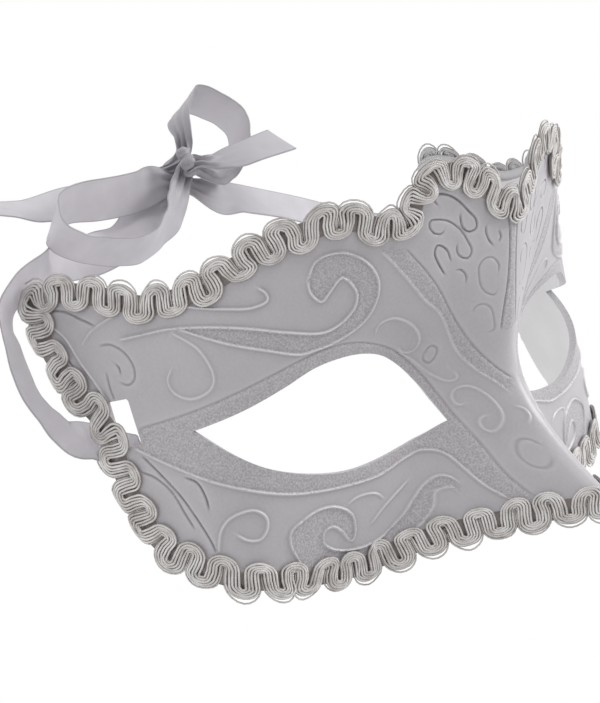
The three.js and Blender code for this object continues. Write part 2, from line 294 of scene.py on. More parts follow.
class Paint:
    """A material's nodes, made with few words."""

    def __init__(self, name):
        self.material = bpy.data.materials.new(name)
        self.material.use_nodes = True
        self.tree = self.material.node_tree
        self.shader = self.tree.nodes["Principled BSDF"]
        self.output = self.tree.nodes["Material Output"]

    def node(self, kind, inputs=None, **settings):
        made = self.tree.nodes.new(kind)
        for key, value in settings.items():
            setattr(made, key, value)
        for key, value in (inputs or {}).items():
            self.put(made.inputs[key], value)
        return made

    def put(self, socket, value):
        if isinstance(value, bpy.types.NodeSocket):
            self.tree.links.new(value, socket)
        else:
            socket.default_value = value

    def set(self, **values):
        for key, value in values.items():
            self.put(self.shader.inputs[key.replace("_", " ")], value)

    def read(self, attribute):
        return self.node("ShaderNodeAttribute", attribute_name=attribute).outputs["Fac"]

    def read_map(self, name):
        uv = self.node("ShaderNodeUVMap", uv_map=name).outputs["UV"]
        parts = self.node("ShaderNodeSeparateXYZ", {"Vector": uv})
        return parts.outputs["X"], parts.outputs["Y"]

    def math(self, operation, a, b=0.0):
        return self.node("ShaderNodeMath", {0: a, 1: b}, operation=operation).outputs[0]

    def times(self, a, b):
        return self.math("MULTIPLY", a, b)

    def wave(self, value, turns):
        return self.math("SINE", self.times(value, 2 * math.pi * turns))

    def mix(self, factor, a, b):
        made = self.node("ShaderNodeMix", data_type="RGBA")
        self.put(made.inputs[0], factor)
        self.put(made.inputs[6], a)
        self.put(made.inputs[7], b)
        return made.outputs[2]

    def noise(self, scale, detail):
        place = self.node("ShaderNodeTexCoord").outputs["Object"]
        keys = {"Scale": scale, "Detail": detail, "Vector": place}
        return self.node("ShaderNodeTexNoise", keys).outputs["Fac"]

    def range(self, value, low, high, to_low=0.0, to_high=1.0):
        keys = {"Value": value, "From Min": low, "From Max": high, "To Min": to_low, "To Max": to_high}
        return self.node("ShaderNodeMapRange", keys).outputs["Result"]

    def cloud(self, scale, detail):
        return self.range(self.noise(scale, detail), 0.3, 0.7)

    def bump(self, height, strength, distance, under=None):
        keys = {"Height": height, "Strength": strength, "Distance": distance}
        made = self.node("ShaderNodeBump", keys)
        if under:
            self.put(made.inputs["Normal"], under)
        return made.outputs["Normal"]


def shell_material():
    """Satin paint with fine specks, grainy where frosted, with painted highlight and painted shade along
    the lines of the relief.
    """
    paint = Paint("shell_satin")
    frost = paint.read("frost")
    crest = paint.read("crest")
    grain = paint.noise(scale=2400, detail=2)
    plain = paint.mix(paint.cloud(scale=60, detail=3), SHELL_DARK, SHELL_LIGHT)
    plain = paint.mix(paint.times(paint.cloud(scale=1500, detail=3), 0.34), plain, SHELL_SPECK)
    frosted = paint.mix(paint.range(grain, 0.36, 0.66), FROST_DARK, FROST_LIGHT)
    colour = paint.mix(frost, plain, frosted)
    # Painted highlight on the crests of raised lines and beside sunk ones, painted shade in sunk lines and
    # at raised lines' feet.
    colour = paint.mix(paint.range(crest, 0, 1, to_high=0.75), colour, CREST_PAINTED_HIGHLIGHT)
    colour = paint.mix(paint.range(crest, 0, -1, to_high=0.6), colour, CREST_SHADE)
    uneven = paint.bump(paint.noise(scale=700, detail=4), strength=0.1, distance=0.0003)
    grainy = paint.bump(paint.times(grain, frost), strength=0.35, distance=0.0001, under=uneven)
    rough = paint.math("ADD", 0.40, paint.times(frost, 0.15))
    paint.set(Base_Color=colour, Roughness=rough, Normal=grainy, Coat_Weight=0.12, Coat_Roughness=0.35)
    return paint.material


def inside_material():
    """The matt inside."""
    paint = Paint("shell_inside")
    colour = paint.mix(paint.cloud(scale=90, detail=4), INSIDE_DARK, INSIDE_LIGHT)
    uneven = paint.bump(paint.noise(scale=900, detail=4), strength=0.35, distance=0.0003)
    paint.set(Base_Color=colour, Roughness=0.75, Normal=uneven)
    return paint.material


def cord_material():
    """Twisted silky cord: patchy, with a painted highlight on top, painted shade in the grooves and pale
    underneath.
    """
    paint = Paint("braid_cord")
    along, around = paint.read_map("cord")
    twist = paint.wave(paint.math("ADD", paint.times(along, TWISTS), around), 2)
    top = paint.wave(around, 1)
    base = paint.mix(paint.cloud(scale=420, detail=3), CORD_DARK, CORD_LIGHT)
    patch = paint.range(paint.noise(scale=120, detail=2), 0.38, 0.66)
    base = paint.mix(paint.times(patch, 0.45), base, CORD_PATCH)
    base = paint.mix(paint.range(twist, -1, 1, to_high=0.35), base, CORD_STRAND)
    # Painted highlight with glints along the top of each cord.
    shine = paint.range(paint.noise(scale=320, detail=2), 0.32, 0.68, to_low=0.2)
    base = paint.mix(paint.times(paint.range(top, 0.72, 0.98), shine), base, CORD_SHINE)
    # Painted shade down each cord's sides, in the grooves between the cords.
    base = paint.mix(paint.range(top, -0.1, 0.8), CORD_GROOVE_SHADE, base)
    base = paint.mix(paint.range(top, -0.3, -0.8), base, CORD_BACK)
    paint.set(Base_Color=base, Roughness=0.34, Specular_IOR_Level=0.9)
    paint.set(Normal=paint.bump(twist, strength=0.4, distance=0.00008))
    paint.set(Sheen_Weight=0.2, Sheen_Roughness=0.4)
    return paint.material


def ribbon_material():
    """Sheer woven ribbon with a darker selvage; near the knot it is denser and takes painted shade."""
    paint = Paint("ribbon_sheer")
    along, across = paint.read_map("cloth")
    painted_shade_and_density = paint.read("painted_shade_and_density")
    weave = paint.times(paint.wave(across, WARPS), paint.wave(along, WEFTS))
    from_middle = paint.math("ABSOLUTE", across)
    edge = paint.range(from_middle, SELVAGE[0] * RIBBON_WIDTH, SELVAGE[1] * RIBBON_WIDTH)
    base = paint.mix(paint.cloud(scale=220, detail=3), RIBBON_DARK, RIBBON_LIGHT)
    base = paint.mix(paint.range(weave, -1, 1, to_high=0.3), base, RIBBON_WEAVE)
    base = paint.mix(paint.times(edge, 0.6), base, RIBBON_EDGE)
    # Painted shade near the knot, and less light through the cloth there.
    base = paint.mix(paint.times(painted_shade_and_density, 0.8), base, RIBBON_PAINTED_SHADE)
    paint.set(Base_Color=base, Roughness=0.45, Normal=paint.bump(weave, strength=0.2, distance=0.0001))
    paint.set(Sheen_Weight=0.3, Sheen_Roughness=0.3)
    glow = paint.node("ShaderNodeBsdfTranslucent", {"Color": base})
    through = paint.range(painted_shade_and_density, 0, 1, to_low=0.42, to_high=0.2)
    both = paint.node("ShaderNodeMixShader", {0: through, 1: paint.shader.outputs[0], 2: glow.outputs[0]})
    paint.put(paint.output.inputs["Surface"], both.outputs[0])
    return paint.material


# Ribbon ties, with the routes of the part's source. Each station is a point of the middle line and
# the direction of the width there.
RIBBON_WIDTH = 10
RIBBON_THICK = 0.28
RIBBON_STEP = 0.8
RIBBON_COLUMNS = 17
RIBBON_SHARP = 60
FLOOR_GAP = 0.1
LEFT_RIBBON = [
    ((-70.3, 3.4, 11), (0.1, 0.98, 0.2)), ((-71.4, 7.8, 6.4), (0.2, 0.98, 0.1)),
    ((-71.7, 14.2, 1.9), (0.41, 0.91, 0)), ((-76.8, 18.8, 1), (0.51, 0.85, -0.1)),
    ((-81.6, 20.5, 1.2), (0.59, 0.8, -0.14)), ((-84.2, 24.2, 1.6), (0.84, 0.5, -0.21)),
    ((-86, 28.3, 2.1), (0.87, 0.35, -0.34)), ((-87.1, 32.1, 2.4), (0.92, 0.1, -0.37)),
    ((-86.5, 37.6, 2.5), (0.9, -0.14, -0.41)), ((-84.8, 44.8, 3), (0.85, -0.19, -0.5)),
    ((-83, 50.9, 3.5), (0.69, -0.39, -0.61)), ((-77.1, 55.5, 4.4), (0.31, -0.54, -0.79)),
    ((-67.3, 57.9, 4.2), (0.07, -0.64, -0.76)), ((-55.9, 59.5, 2.8), (-0.01, -0.88, -0.47)),
    ((-45.9, 59.1, 1.8), (0.03, -0.98, -0.17)), ((-32.3, 60.5, 3), (0.2, -0.82, 0.53)),
    ((-21, 65, 2), (0.31, -0.92, 0.24)), ((-12.5, 67, 1.6), (0.5, -0.86, 0)),
    ((-6.6, 72.2, 1.6), (0.6, -0.8, 0)), ((-1.4, 76, 3.6), (0.45, -0.5, 0.74)),
    ((-0.8, 79.4, 5.4), (-0.05, -0.3, 0.94)), ((1.1, 83.6, 5.4), (0.03, -0.02, 1)),
    ((4.1, 85.7, 5.4), (-0.04, 0.06, 1)), ((7.6, 87.5, 5.4), (-0.02, 0.21, 0.98)),
    ((10.2, 86.8, 5.4), (0.07, 0.16, 0.98)), ((14.1, 84, 5.4), (0.04, 0.05, 1)),
    ((17.6, 80.5, 5.4), (-0.03, -0.02, 1)), ((18.4, 77.4, 5.4), (-0.14, 0.02, 0.99)),
    ((16.4, 73.7, 5.4), (-0.08, 0.07, 0.99)), ((10.5, 69, 5.4), (0.11, -0.22, 0.97)),
    ((3.4, 67.3, 5.4), (0.26, -0.71, 0.65)), ((-0.8, 67.2, 7.6), (0, -0.95, 0.3)),
    ((-5, 67.6, 9.8), (0, -1, 0)), ((-10.5, 69, 11.6), (0, -1, 0)), ((-14.2, 69.2, 13.2), (0, -1, 0)),
    ((-13, 69, 14.9), (0, -1, 0)), ((-9.7, 67.8, 15.2), (-0.15, -0.97, 0.15)),
    ((-4.5, 66.9, 15.6), (-0.13, -0.84, 0.52)), ((3.7, 66.7, 17), (-0.12, -0.79, 0.61)),
    ((14.2, 66.5, 18.6), (-0.1, -0.83, 0.55)),
]
RIGHT_RIBBON = [
    ((68.3, 31.4, 15), (0.2, -0.98, -0.1)), ((70.6, 31.8, 8.6), (0.2, -0.98, -0.1)),
    ((69.3, 34.1, 2.4), (-0.32, -0.95, 0)), ((59.1, 38.2, 1.6), (-0.41, -0.91, 0)),
    ((46.6, 43.3, 1.9), (-0.4, -0.9, 0.17)), ((34.4, 49.2, 2), (-0.41, -0.88, 0.24)),
    ((18.5, 56.6, 2.6), (-0.35, -0.89, 0.31)), ((6.6, 60.9, 3.4), (-0.24, -0.94, 0.24)),
    ((-1, 62.4, 4.6), (-0.5, -0.86, -0.1)), ((-9.2, 66.8, 5.3), (-0.3, -0.95, 0)),
    ((-17.3, 69.3, 6.6), (0, -0.98, -0.2)), ((-28.3, 68.4, 7.6), (-0.03, -0.79, -0.61)),
    ((-40.4, 69.1, 8.2), (-0.1, -0.76, -0.64)), ((-50.2, 70, 9), (-0.09, -0.62, -0.78)),
    ((-59.5, 68.5, 10.8), (0.03, -0.51, -0.86)), ((-63.8, 64.1, 12.5), (0.27, -0.09, -0.96)),
    ((-61, 60.2, 11.8), (-0.09, 0.07, -0.99)), ((-53.6, 57, 11.2), (-0.07, -0.12, -0.99)),
    ((-46.2, 54.6, 11.4), (-0.03, -0.21, -0.98)), ((-38.2, 54, 11.4), (0.04, -0.37, -0.93)),
    ((-30.2, 56.9, 11.2), (0.19, -0.53, -0.83)), ((-22.9, 60.7, 10.6), (0.39, -0.73, -0.56)),
    ((-11.2, 69, 9.3), (0.43, -0.9, 0)), ((-5.5, 72, 8), (0.21, -0.98, 0)),
    ((-3.2, 72.7, 6.2), (0, -1, 0)), ((-5.5, 72.2, 4.6), (0, -1, 0)), ((-12, 71.6, 3.9), (0, -1, 0)),
    ((-19.3, 70.1, 3.6), (0.08, -0.99, 0.07)), ((-31.9, 70.5, 3.4), (-0.1, -0.99, 0.14)),
    ((-41.7, 72, 2.8), (-0.11, -0.95, 0.28)), ((-58, 73.1, 3.2), (-0.13, -0.84, 0.53)),
    ((-66.6, 75.7, 3.6), (-0.22, -0.73, 0.64)), ((-80.4, 80.5, 3.6), (-0.25, -0.72, 0.64)),
]
# Points where the cloth is drawn together: the knot's middle, the turn over it and the foot of the
# upper loop. Near them it narrows, and in a wider reach it takes painted shade and lets less light through.
KNOTS = np.array([(-9.0, 71.0, 6.0), (-12.0, 69.3, 14.0), (-1.5, 75.0, 3.0)])
KNOT_REACH = 8.5
KNOT_PINCH = 0.65
SHADE_AND_DENSITY_REACH = 15
# The start is gathered to this part of the width, and opens over this length.
GATHER = 0.45
GATHER_REACH = 14
# Slow ripples of the loose cloth and pleats of the drawn cloth.
RIPPLE_PITCH = 0.05
RIPPLE_HEIGHT = 0.5
RIPPLE_FLAT = 0.4
PLEAT_HEIGHT = 0.75
PLEAT_TURN = 9
# Folds of the knot: middle, half sizes up, towards the camera and across, lean in degrees, crease.
KNOT_PUFFS = [
    (np.array([-13.6, 72.2, 13.4]), np.array([1.5, 1.5, 1.6]), 10, 0.4),
    (np.array([-14.0, 69.6, 13.8]), np.array([1.9, 1.6, 1.7]), -25, 2.1),
    (np.array([-13.0, 67.8, 12.2]), np.array([1.2, 1.2, 1.8]), 30, 3.9),
]
PUFF_RINGS = 16
PUFF_SIDES = 36
CREASE_DEPTH = 0.45
CREASE_MEAN = 0.75
CREASE_TWIST = 1.5


def ribbon_frames(stations):
    """Along a ribbon: middle line, directions of width and face, half width, pinch, and the painted shade
    and density near the knots.
    """
    fine, params = curve_with_params([at for at, _ in stations])
    centre, t = resample(fine, RIBBON_STEP, values=params)
    along = unit(np.gradient(centre, axis=0))
    turns = unit(np.array([direction for _, direction in stations], float))
    first = np.minimum(t.astype(int), len(stations) - 2)
    part = ease(t - first)[:, None]
    side = turns[first] * (1 - part) + turns[first + 1] * part
    side = unit(side - (side * along).sum(axis=1)[:, None] * along)
    apart = np.linalg.norm(centre[:, None, :] - KNOTS, axis=2).min(axis=1)
    pinch = np.exp(-((apart / KNOT_REACH) ** 2))
    # How much painted shade and density the cloth takes near the knots.
    painted_shade_and_density = np.exp(-((apart / SHADE_AND_DENSITY_REACH) ** 2))
    gather = GATHER + (1 - GATHER) * ease(np.arange(len(centre)) * RIBBON_STEP / GATHER_REACH)
    half = RIBBON_WIDTH / 2 * (1 - KNOT_PINCH * pinch) * gather
    up = np.cross(side, along)
    lowest = centre[:, 2] - np.abs(side[:, 2]) * half - np.abs(up[:, 2]) * RIBBON_THICK / 2
    centre[:, 2] += np.maximum(0, FLOOR_GAP - lowest)
    return centre, side, up, half, pinch, painted_shade_and_density


def ribbon_points(centre, side, up, half, pinch, length, seed):
    """Points of the upper and then the lower face of the cloth, row by row."""
    q = np.linspace(-1, 1, RIBBON_COLUMNS)
    points = []
    for sign in (1, -1):
        for i, gone in enumerate(length * RIPPLE_PITCH):
            ripple = noise.noise(Vector((gone, seed, 0))) * RIPPLE_HEIGHT
            pleat = PLEAT_HEIGHT * pinch[i] * np.sin(q * PLEAT_TURN + seed + gone)
            lift = ripple * (q**2 - RIPPLE_FLAT) * (1 - pinch[i]) + pleat + sign * RIBBON_THICK / 2
            points.append(centre[i] + side[i] * (half[i] * q)[:, None] + up[i] * lift[:, None])
    points = np.vstack(points)
    points[:, 2] = np.maximum(points[:, 2], FLOOR_GAP / 2)
    return points


def ribbon_faces(rows):
    """Faces of the closed strip of cloth: both sides, the long edges and the two ends."""
    columns = RIBBON_COLUMNS
    below = rows * columns
    faces = []
    for i in range(rows - 1):
        for k in range(columns - 1):
            a = i * columns + k
            b, c, d = a + 1, a + columns + 1, a + columns
            faces.append((a, b, c, d))
            faces.append((below + d, below + c, below + b, below + a))
        for k in (0, columns - 1):
            a, d = i * columns + k, (i + 1) * columns + k
            ring = (a, d, below + d, below + a)
            faces.append(ring if k == 0 else ring[::-1])
    for i in (0, rows - 1):
        for k in range(columns - 1):
            a = i * columns + k
            ring = (a, below + a, below + a + 1, a + 1)
            faces.append(ring if i == 0 else ring[::-1])
    return faces


def puff_faces():
    """Faces of a closed ball of rings between its first and last point."""
    rings, sides = PUFF_RINGS, PUFF_SIDES
    last = 1 + (rings - 1) * sides
    top = last - sides
    faces = []
    for k in range(sides):
        m = (k + 1) % sides
        faces.append((0, 1 + m, 1 + k))
        faces.append((last, top + k, top + m))
        for i in range(rings - 2):
            row = 1 + i * sides
            faces.append((row + k, row + m, row + sides + m, row + sides + k))
    return faces


def puff_points(centre, size, lean, seed):
    """Points of a rounded fold of the knot, creased lengthwise."""
    points = [(0, 0, -1.0)]
    for i in range(1, PUFF_RINGS):
        high = math.pi * (i / PUFF_RINGS - 0.5)
        for k in range(PUFF_SIDES):
            a = 2 * math.pi * k / PUFF_SIDES
            crease = abs(math.sin(2 * a + seed + CREASE_TWIST * high)) ** 0.5 - CREASE_MEAN
            wide = math.cos(high) * (1 + CREASE_DEPTH * crease * math.cos(high))
            points.append((wide * math.cos(a), wide * math.sin(a), math.sin(high)))
    points.append((0, 0, 1.0))
    back = TILT @ VIEW_BACK
    axes = np.stack([TILT @ VIEW_UP, back, TILT @ VIEW_RIGHT])
    spin = np.array(Matrix.Rotation(math.radians(lean), 3, Vector(back)))
    return (np.array(points) * size) @ axes @ spin.T + centre


def map_cloth(piece, points, length):
    """Gives the strip its lengths along and across. The puffs take theirs from where they are."""
    across = np.linspace(-1, 1, RIBBON_COLUMNS) * RIBBON_WIDTH / 2
    strip = np.stack([np.repeat(length, RIBBON_COLUMNS), np.tile(across, len(length))], axis=1)
    flat = np.vstack([strip, strip, points[2 * len(strip):, :2]])
    flat[2 * len(strip):, 1] = 0
    corners = np.zeros(len(piece.data.loops), dtype=int)
    piece.data.loops.foreach_get("vertex_index", corners)
    piece.data.uv_layers.new(name="cloth").data.foreach_set("uv", flat[corners].ravel())


def make_ribbon(name, stations, node, material, seed, puffs):
    centre, side, up, half, pinch, painted_shade_and_density = ribbon_frames(stations)
    length = lengths_along(centre)
    points = ribbon_points(centre, side, up, half, pinch, length, seed)
    faces = ribbon_faces(len(centre))
    for puff in puffs:
        faces += [tuple(len(points) + k for k in ring) for ring in puff_faces()]
        points = np.vstack([points, puff_points(*puff)])
    piece = add_mesh(name, points, faces, material)
    map_cloth(piece, points, length)
    # Painted shade and density near the knots; the puffs take it in full.
    strip = np.tile(np.repeat(painted_shade_and_density, RIBBON_COLUMNS), 2)
    add_values(piece.data, "painted_shade_and_density", np.concatenate([strip, np.ones(len(points) - len(strip))]))
    piece.data.set_sharp_from_angle(angle=math.radians(RIBBON_SHARP))
    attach(piece, "root")
    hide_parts(node)
    return piece, centre, length[-1]


def make_ribbons(material):
    for name, stations, node, seed, puffs in (
        ("tie_left", LEFT_RIBBON, "ribbon_left", 1.3, KNOT_PUFFS),
        ("tie_right", RIGHT_RIBBON, "ribbon_right", 4.1, ()),
    ):
        piece, centre, length = make_ribbon(name, stations, node, material, seed, puffs)


# Shell. Every line of the low relief is drawn on the wearer's right half and mirrored. Its first number
# says how strong the painted highlight on its crest is, or below zero the painted shade in it, and how far
# it stands out or sinks in.
LINES = {
    "rim_top": (-0.45, [
        (91.8, -11.4), (80.1, -6.9), (62.2, 0.9), (48.3, 6.1), (40.5, 6.6), (32.5, 4.8), (25.5, 1.6),
        (18.9, -4.3), (15.1, -10.2), (13.4, -14.7), (11.4, -21.3), (10.5, -27.8), (9.3, -31.8),
    ]),
    "rim_curl": (0.5, [
        (25.5, 1.6), (21.4, -0.7), (16.3, -5.3), (12.6, -7.4), (11.2, -6.6), (11.9, -5.1),
    ]),
    "rim_low": (0.9, [
        (93.4, -15.9), (84.1, -18.8), (71.1, -22.3), (58, -25.2), (42.8, -25.7), (34.5, -25.2),
        (26.3, -23), (21.2, -22.1), (17.7, -23.2), (14.3, -30), (12.4, -32.6),
    ]),
    "centre": (-0.7, [(1.5, 32), (1.1, 22.1), (1.3, 15.6), (2, 9.2), (2.5, 3.7)]),
    "vee_left": (0.5, [
        (34.8, 27.2), (28.4, 20.4), (22.7, 14.4), (16.7, 9.2), (11.3, -0.6), (7.7, -5.2), (4.4, -8.7),
        (3, -10.8),
    ]),
    "vee_right": (-0.5, [
        (28.6, 26.9), (19.4, 16.7), (11.2, 4.8), (8.4, 0.8), (5.1, -3.4), (2.6, -6.5), (1.2, -8),
    ]),
    "leaf_in": (1.1, [
        (95.3, 7.2), (88.1, 9.5), (83.3, 10.9), (74.5, 12.1), (65.9, 12), (57.4, 10.8), (48.5, 10),
        (44.3, 11.6), (40.9, 15), (40.6, 18.5), (44, 22), (46.9, 19), (48.8, 17), (51.3, 19.2),
        (51.9, 22),
    ]),
    "leaf_out": (1.0, [
        (80.6, 11.2), (70.4, 8.8), (61.9, 7.1), (54.1, 5.6), (50.7, 6.1), (44.6, 7.8), (37.7, 11.8),
        (35.2, 16.9), (35.6, 21.3), (38.7, 25.4), (44, 27.7), (49.7, 26.3), (51.9, 22),
    ]),
    "curl": (0.7, [
        (82.5, 10.3), (76.8, 7.5), (74.1, 3.8), (73.4, 1), (74.4, -1.4), (78.9, -3.6), (82.8, -2.6),
        (84, -0.3), (82.9, 2.6),
    ]),
    "hook": (1.2, [(78.9, 16.2), (70.6, 16.2), (64.1, 16.5), (60.9, 18), (61.1, 19.5), (63, 20.9)]),
    "brow_c": (0.55, [
        (34.2, 7.6), (33.9, 9.8), (30.6, 10.9), (26, 9.5), (21.8, 6.3), (20.4, 3.6), (21.2, 1.4),
        (23.9, 1.3), (25.6, 2.7),
    ]),
    "ring": (-0.5, [
        (18.4, -0.3), (17.4, 1.8), (15.7, 1), (15.7, -1), (16.8, -2.5), (18.2, -1.6), (18.5, 0.2),
    ]),
    "dot": (1.0, [(13.1, -3.5), (13, -3.9)]),
    "crest_a": (-1.0, [
        (20.7, 35.7), (21.6, 37), (20.8, 38.2), (18, 37.7), (15, 35.9), (12.4, 33.2), (10.4, 30.9),
        (10.3, 28.8), (12.2, 28.3), (13.8, 29.7), (14.6, 32.8),
    ]),
    "crest_b": (-0.8, [
        (18.9, 29.8), (19.4, 29), (21.3, 29.3), (22.8, 31.1), (22.6, 32.4), (20.6, 32.4), (17.5, 31.5),
        (14.3, 29.1), (12.4, 26.3), (11.2, 23.8), (11.9, 22.2), (13.5, 22.5), (14.8, 23.8), (15.1, 26),
    ]),
    "crest_hook": (-1.0, [
        (16.5, 22.2), (17.6, 24.7), (19.3, 26.1), (20.6, 26.4), (21.1, 24.8), (20.1, 22.5), (17.8, 19.1),
    ]),
    "crest_tick": (-0.7, [(15, 19.8), (13.5, 19.6), (12.1, 17.7), (12.2, 16.3)]),
    "crest_c": (-0.9, [(7.6, 29.2), (7.8, 28.1), (6.9, 25.6), (5.6, 24)]),
    "crest_d": (-0.9, [(4.3, 27.5), (3.7, 25.7), (4.4, 24.7)]),
    "crest_e": (-0.5, [
        (4.2, 17.6), (4, 19.3), (5.7, 21.2), (7.5, 21.4), (9, 20.1), (9, 17.7), (8, 14.5), (6.2, 12.8),
        (4.7, 12.3), (4.2, 13.1),
    ]),
    "crest_f": (-0.4, [
        (9.6, 8.7), (9.1, 10.1), (7.5, 10.6), (5.5, 9.5), (4.5, 7), (4.2, 3.9), (5.6, 3.5),
    ]),
    "nose_a": (0.5, [
        (10.8, -12.7), (12.1, -13), (12.8, -11.2), (11.8, -9.3), (9.6, -8.9), (7.8, -10), (6.2, -12.4),
        (5.8, -15.4), (7, -17.6), (8.7, -18.9), (9.7, -18.5), (10, -17.2), (9.3, -15.9), (8.2, -15.5),
    ]),
    "nose_b": (0.5, [(3.1, -13.9), (2, -14.4), (1.6, -15.8), (2.8, -17.6)]),
    "nose_c": (-0.4, [
        (3.2, -21.8), (4.1, -20.6), (5.7, -20.6), (6.9, -22.3), (7.2, -24.4), (6.4, -25.8), (5, -26.1),
        (3.7, -25.1), (3.2, -24.2),
    ]),
    "corner_a": (-0.7, [(114.1, 10.8), (109.3, 11.2), (104.8, 10.1), (101.5, 9.3)]),
    "corner_b": (0.6, [(95.2, 13), (98.6, 11), (102.8, 7.8), (105.1, 4.7)]),
    "corner_c": (0.7, [
        (114.4, 7.3), (112.3, 7.1), (109.4, 5.4), (106, 1.2), (101.9, -3.3), (99.3, -6.7),
    ]),
    "corner_d": (-0.7, [(110.6, 2.1), (108.1, 0.1), (106.6, -1.6)]),
    "corner_e": (-0.6, [
        (100.6, 5.2), (97.8, 5.8), (94.3, 4.5), (92.2, 1.7), (92.2, -0.8), (93.8, -2.3), (95.8, -2),
    ]),
    "corner_f": (-0.8, [(97, 2), (95.9, 1.1), (95.5, -0.3)]),
    "corner_g": (-0.6, [(99.2, -0.2), (98.6, -3.2), (97.5, -6.2)]),
    "low_a": (-0.8, [
        (91.9, -17.1), (87.4, -21), (83.3, -25), (79.8, -29.9), (77.3, -34.4), (76.5, -36.8),
    ]),
    "low_b": (-0.7, [(92.4, -20.8), (88.9, -21.7), (85.3, -24.4), (82.7, -28.7), (80.7, -32)]),
    "low_c": (-0.9, [(81.9, -20.7), (79.2, -21.6), (77.6, -24.4), (77, -27.5)]),
    "low_curl": (0.9, [
        (76, -36.8), (74.8, -31.7), (72.3, -28.8), (67.4, -27.5), (64.9, -29.3), (64.9, -31.8),
        (66.8, -34), (69.5, -33.9), (71.8, -32.5),
    ]),
    "big_out": (0.9, [
        (56.7, -42.5), (58.5, -39.2), (59.6, -36.4), (59.3, -33.6), (56.6, -31.8), (52, -29.9),
        (47.4, -29.9), (43.2, -32.3), (42.3, -35.5), (43, -38.3), (44.1, -38.6),
    ]),
    "big_in": (0.8, [
        (44.1, -38.6), (45.7, -36.2), (48.3, -34.3), (50.7, -35.2), (50.9, -37.7), (48.1, -39.7),
        (42.3, -40.7), (35.8, -39.7), (29.8, -35.8), (26.9, -32.6), (23.8, -29.4), (20.6, -27.7),
        (18.9, -27.9), (17.9, -29.2),
    ]),
    "big_a": (0.6, [
        (18.7, -31.6), (19.2, -30.2), (20.2, -30.2), (22.2, -31), (23.6, -33.9), (26.3, -37.2),
        (29.9, -40),
    ]),
    "big_b": (0.8, [(38.2, -35.9), (34.4, -32.7), (28.5, -29), (26.7, -28.1)]),
    "big_c": (0.6, [(44.2, -30), (41.1, -28.8), (36, -29.1), (33.9, -30.7)]),
}
LINE_HEIGHT = 0.5
LINE_HALF = 0.36
LINE_STEP = 0.12
LINE_START = 0.25
LINE_FADE = 1.6
# The shade at a line's foot: its distance from the line, its width and its strength.
HALO_AT = 0.62
HALO_WIDTH = 0.26
HALO_PART = 0.35
# Areas between two lines that are frosted, and corners that close the low one at the edge.
FROSTED = [
    ("rim_top", "rim_low"),
    ("vee_left", "vee_right"),
    ("leaf_in", "leaf_out"),
]
FROST_LOW = ("big_out", "big_in", "big_a")
FROST_LOW_END = [(37.1, -44), (51.1, -44.2)]
FROST_STEP = 0.8
GRAIN_HEIGHT = 0.035
GRAIN_OFF_LINE = 0.3
# Mesh points: rows beside the lines, grids of grain, face and inside, and the room that each leaves.
EDGE_STEP = 1.2
EYE_STEP = 0.8
SLOT_STEP = 0.85
ROW_STEP = 0.7
LINE_ROWS = (0, 0.12, -0.12, 0.24, -0.24, 0.36, -0.36, 0.62, -0.62, 0.9, -0.9)
ROW_EDGE_GAP = 0.2
ROW_GAP = 0.11
GRAIN_STEP = 0.45
GRAIN_JITTER = 0.1
GRAIN_GAP = 0.28
COARSE_STEP = 1.3
COARSE_GAP = 0.75
INSIDE_STEP = 1.9
INSIDE_GAP = 0.8
GRID_HALF = 120
GRID_HIGH = (-50, 46)
SHELL_SHARP = 50


def mirrored(points):
    return np.asarray(points, float) * (-1, 1)


def whole_edge():
    """The outline's given points round both halves."""
    half = np.array(EDGE, float)
    return np.vstack([half[:-1], mirrored(half)[::-1][:-1]])


def eye_loop():
    top = smooth_line(EYE_TOP, spacing=EYE_STEP)
    low = smooth_line(EYE_LOW, spacing=EYE_STEP)
    return np.vstack([top[:-1], low[:-1]])


def slot_loop():
    w, h = SLOT_SIZE[0] / 2, SLOT_SIZE[1] / 2
    corners = np.array([(-w, -h), (w, -h), (w, h), (-w, h), (-w, -h)], float)
    ring = resample(corners, SLOT_STEP)[0][:-1]
    turn = math.radians(-SLOT_LEAN)
    spin = np.array([[math.cos(turn), -math.sin(turn)], [math.sin(turn), math.cos(turn)]])
    return ring @ spin.T + SLOT_AT


def inside(points, polygon):
    """Which points lie in the polygon."""
    found = np.zeros(len(points), bool)
    x, y = points[:, 0], points[:, 1]
    for (x0, y0), (x1, y1) in zip(polygon, np.roll(polygon, -1, axis=0)):
        if y0 == y1:
            continue
        crosses = (y0 > y) != (y1 > y)
        found ^= crosses & (x < (x1 - x0) * (y - y0) / (y1 - y0) + x0)
    return found


def on_shell(points, loops):
    """Which points lie inside the edge, the first loop, and outside the holes."""
    found = inside(points, loops[0])
    for hole in loops[1:]:
        found &= ~inside(points, hole)
    return found


def tree_of(points):
    tree = KDTree(len(points))
    for i, p in enumerate(points):
        tree.insert((p[0], p[1], 0), i)
    tree.balance()
    return tree


def away(candidates, kept, gap, loops):
    """The candidates on the shell that are further than the gap from every kept point."""
    candidates = candidates[on_shell(candidates, loops)]
    tree = tree_of(kept)
    apart = np.array([tree.find((p[0], p[1], 0))[2] for p in candidates])
    return candidates[apart > gap]


def thinned(points, gap):
    """Leaves out points closer than the gap to an earlier one."""
    kept = {}
    for p in points:
        cell = (math.floor(p[0] / gap), math.floor(p[1] / gap))
        near = (kept.get((cell[0] + i, cell[1] + k)) for i in (-1, 0, 1) for k in (-1, 0, 1))
        if all(n is None or math.dist(n, p) >= gap for n in near):
            kept[cell] = tuple(p)
    return np.array(list(kept.values()))


def hex_grid(step, jitter=0.0):
    """A flat grid of points over the whole face, each moved by up to the jitter."""
    rows = []
    for i, v in enumerate(np.arange(*GRID_HIGH, step * math.sqrt(3) / 2)):
        s = np.arange(-GRID_HALF, GRID_HALF, step) + (i % 2) * step / 2
        rows.append(np.stack([s, np.full(len(s), v)], axis=1))
    grid = np.vstack(rows)
    return grid + DRAWS.uniform(-jitter, jitter, grid.shape)


